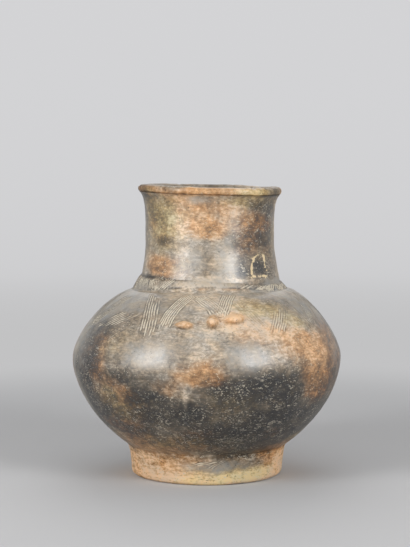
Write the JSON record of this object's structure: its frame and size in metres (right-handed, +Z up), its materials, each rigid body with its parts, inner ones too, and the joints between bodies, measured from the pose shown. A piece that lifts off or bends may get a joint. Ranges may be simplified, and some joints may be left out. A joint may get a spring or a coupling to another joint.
{
  "type": "hand-built footed earthenware vase",
  "caption": "Round-bodied, smoke-fired earthenware vase with a ring foot, a carinated body, a waisted neck with a rolled lip and pellet lugs on a combed shoulder.",
  "frame": {"origin": "centre of the ring foot's underside, on the surface that the vase stands on", "axes": "+Z up along the body's axis, front with the lugs towards -Y, +X to the viewer's right"},
  "size_m": [0.2132, 0.2132, 0.2305],
  "materials": {
    "foot_clay": "worn matt, orange-tan with grey smoke patches",
    "base_clay": "rough matt, unburnished",
    "bowl_clay": "burnished satin, black and brown fire clouds",
    "shoulder_clay": "burnished satin, grey-brown with pale deposit in the combing",
    "collar_clay": "smeared, half matt",
    "neck_clay": "burnished satin, brown, tan and black mottling",
    "lip_clay": "rubbed, half matt",
    "lug_clay": "rubbed satin, orange-brown"
  },
  "bodies": {
    "root": {"foot_ring": "foot_clay", "base_disc": "base_clay", "lower_body": "bowl_clay", "shoulder": "shoulder_clay", "collar": "collar_clay", "neck": "neck_clay", "rim_roll": "lip_clay", "lug_left": "lug_clay", "lug_centre": "lug_clay", "lug_right": "lug_clay"}
  },
  "joints": []
}
